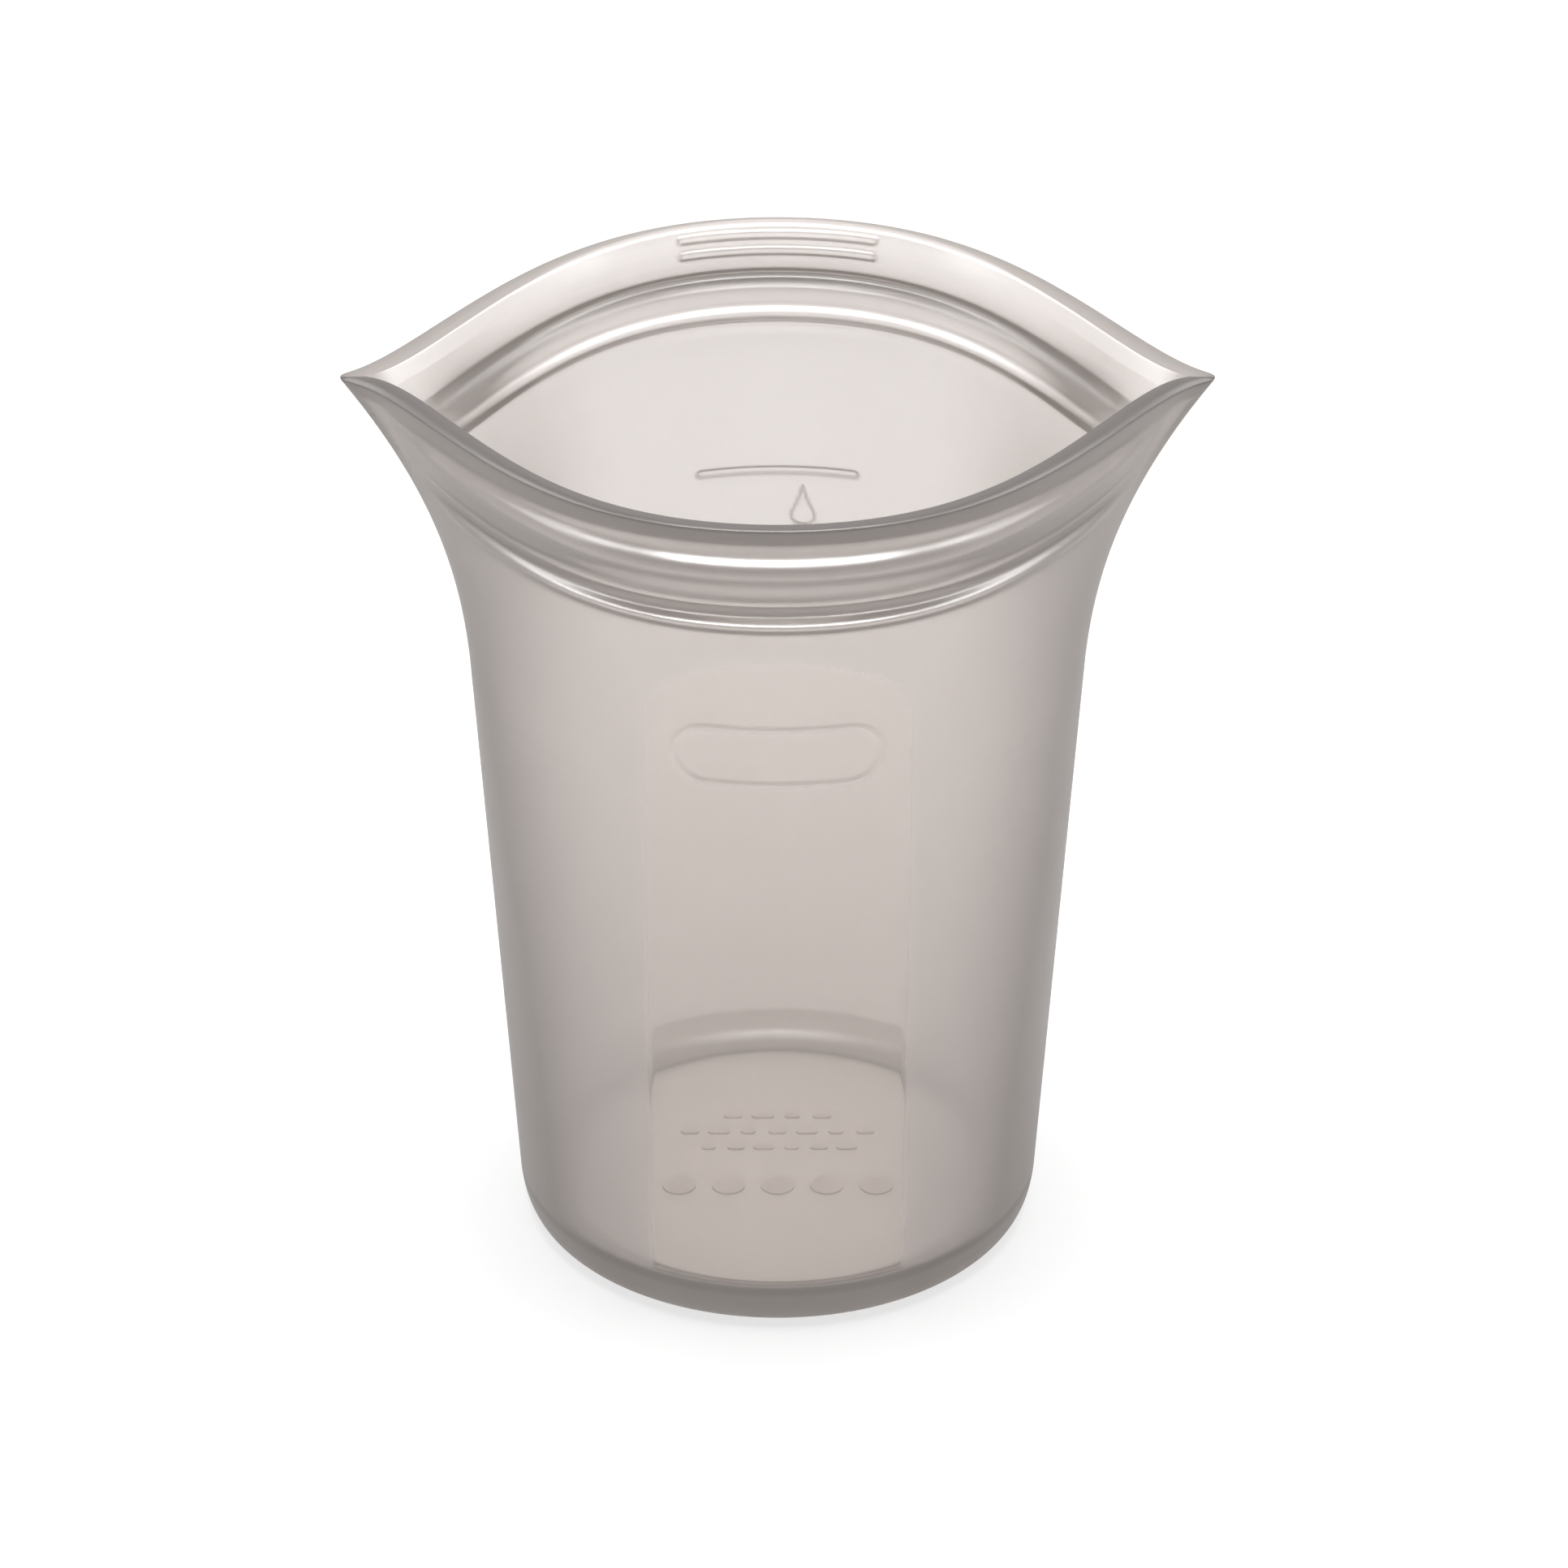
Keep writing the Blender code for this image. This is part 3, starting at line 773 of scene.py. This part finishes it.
def make_floor():
    """A plain white floor."""
    mesh = bpy.data.meshes.new("floor")
    half = FLOOR_HALF
    corners = [(-half, -half, 0.0), (half, -half, 0.0), (half, half, 0.0), (-half, half, 0.0)]
    mesh.from_pydata(corners, [], [(0, 1, 2, 3)])
    floor = bpy.data.objects.new("floor", mesh)
    bpy.context.scene.collection.objects.link(floor)
    floor.location.z = -0.0002
    material = bpy.data.materials.new("floor_white")
    material.use_nodes = True
    shader = material.node_tree.nodes["Principled BSDF"]
    shader.inputs["Base Color"].default_value = FLOOR_WHITE
    shader.inputs["Roughness"].default_value = 0.8
    shader.inputs["Specular IOR Level"].default_value = 0.0
    shader.inputs["Emission Color"].default_value = (1.0, 1.0, 1.0, 1.0)
    shader.inputs["Emission Strength"].default_value = FLOOR_GLOW
    mesh.materials.append(material)
    floor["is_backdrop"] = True


def make_light(name, size, power, place):
    """A soft rectangular lamp that faces the middle of the bag."""
    lamp = bpy.data.lights.new(name, "AREA")
    lamp.shape = "RECTANGLE"
    lamp.size, lamp.size_y = size
    lamp.energy = power
    holder = bpy.data.objects.new(name, lamp)
    bpy.context.scene.collection.objects.link(holder)
    holder.location = place
    aim = Vector((0.0, 0.0, 0.08)) - Vector(place)
    holder.rotation_euler = aim.to_track_quat("-Z", "Y").to_euler()
    return holder


def make_studio():
    """White surroundings, brighter behind and above, with soft lamps that catch the ridges."""
    scene = bpy.context.scene
    world = bpy.data.worlds.new("studio")
    scene.world = world
    world.use_nodes = True
    tree = world.node_tree
    back = tree.nodes["Background"]
    place = tree.nodes.new("ShaderNodeTexCoord")
    split = tree.nodes.new("ShaderNodeSeparateXYZ")
    tree.links.new(place.outputs["Generated"], split.inputs[0])
    strength = map_range(tree, split.outputs["Y"], -0.6, 0.8, WORLD_FRONT, WORLD_BACK, True)
    tree.links.new(strength, back.inputs["Strength"])
    back.inputs["Color"].default_value = (1.0, 1.0, 1.0, 1.0)
    make_light("top_soft", (0.6, 0.4), 12.7, (0.0, 0.0, 1.1))
    strips = [make_light("highlight_front", (1.2, 0.5), 36.0, (0.0, -0.45, 0.95))]
    for side in (-1.0, 1.0):
        high = (side * 0.75, 0.02, 0.8)
        low = (side * 1.0, -0.05, 0.5)
        strips.append(make_light("highlight_side", (0.9, 0.45), 13.0, high))
        strips.append(make_light("highlight_low", (0.6, 0.5), 4.5, low))
    for strip in strips:
        strip.visible_diffuse = False
        strip.visible_transmission = False
    scene.view_settings.view_transform = "Standard"


def make_camera():
    """The camera: 30 degrees above the level, a long lens about a metre away."""
    data = bpy.data.cameras.new("camera")
    data.sensor_width = 36.0
    data.lens = LENS
    data.shift_x = SHIFT_X
    camera = bpy.data.objects.new("camera", data)
    bpy.context.scene.collection.objects.link(camera)
    low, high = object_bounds()
    middle = Vector((0.0, 0.0, (low.z + high.z) / 2.0 + AIM_ABOVE_MIDDLE))
    rise = math.radians(CAMERA_RISE)
    camera.location = middle + CAMERA_AWAY * Vector((0.0, -math.cos(rise), math.sin(rise)))
    camera.rotation_euler = (math.radians(90.0) - rise, 0.0, 0.0)
    data.clip_start = 0.05
    bpy.context.scene.camera = camera


def closing_turn(u, pivot_y):
    """The turn, in radians, that brings the inside of the rim at u to the closing line."""
    rim = (cone_radius(HEIGHT) + RIM_LEAN - RIM_THICK + CORNER_HALF_THICK - CORNER_SLIT)
    rim = rim * lens(u, 1.0) + CORNER_SLIT
    rise = HEIGHT - FOLD_Z
    reach = np.hypot(rim - pivot_y, rise)
    return np.arctan2(rim - pivot_y, rise) + np.arcsin((pivot_y - CLOSED_GAP) / reach)


def pinch(shell, lip):
    """Bend a half shell with its lip, so that the whole mouth closes on one line.

    The middle turns with the lip, the corners stay where they are, and the turn fades out
    below the hinge line.
    """
    joint = next(j for j in frame["joints"] if j["name"] == lip + "_lip_pinch")
    pivot_y = abs(joint["pos_m"][1]) / MM
    side = -1.0 if lip == "front" else 1.0
    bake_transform(shell, "cup", lip + "_lip", (0.0, 0.0, 0.03), (0.0, side * 0.03, 0.03))
    mesh = shell.data
    points = np.zeros(len(mesh.vertices) * 3)
    mesh.vertices.foreach_get("co", points)
    x, _, z = points.reshape(-1, 3).T / MM
    u = np.clip(np.abs(x) / np.array([half_width(height) for height in z]), 0.0, 1.0)
    travel = math.radians(joint["range_deg"][1])
    turn = np.maximum(closing_turn(u, pivot_y), 0.0) / travel
    weights = turn * smooth_step(z, PARTING_Z + 1.0, FOLD_Z + 20.0)
    mesh.attributes["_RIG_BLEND"].data.foreach_set("value", weights.astype(np.float32))


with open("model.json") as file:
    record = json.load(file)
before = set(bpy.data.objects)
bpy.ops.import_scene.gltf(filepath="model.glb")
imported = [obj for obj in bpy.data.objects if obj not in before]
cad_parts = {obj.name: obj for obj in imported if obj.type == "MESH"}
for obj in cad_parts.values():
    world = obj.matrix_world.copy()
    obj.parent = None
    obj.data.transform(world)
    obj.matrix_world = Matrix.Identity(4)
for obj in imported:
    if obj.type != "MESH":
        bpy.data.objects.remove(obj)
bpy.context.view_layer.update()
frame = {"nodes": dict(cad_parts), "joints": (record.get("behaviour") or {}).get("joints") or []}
skin = Skin()
frosted = silicone_material()
hidden = clear_material()
last = len(skin.values) - 1
base = skin.piece(
    "base_shell",
    [(0, skin.outer_cut), (skin.inner_cut, last)],
    list(range(SEGMENTS)),
    (frosted, hidden),
)
half = SEGMENTS // 2
rear_shell = skin.piece(
    "rear_shell", [(skin.outer_cut, skin.inner_cut)], list(range(0, half + 1)), (frosted, hidden)
)
front_shell = skin.piece(
    "front_shell",
    [(skin.outer_cut, skin.inner_cut)],
    list(range(half, SEGMENTS + 1)),
    (frosted, hidden),
)
marks = base_marks(frosted)
for piece in (marks, base):
    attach(piece, "cup")
for shell, lip in ((front_shell, "front"), (rear_shell, "rear")):
    pinch(shell, lip)
nodes = frame["nodes"]
front_nodes = [n for n in nodes if n.startswith("front_") or n == "blank_badge"]
rear_nodes = [n for n in nodes if n.startswith("rear_") or n in ("fill_line", "drop_mark")]
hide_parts(*front_nodes, "left_side_wall", "left_corner_ear")
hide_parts(*rear_nodes, "right_side_wall", "right_corner_ear")
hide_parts("base_floor", "foot_ring", "lower_wall")
make_floor()
make_studio()
make_camera()
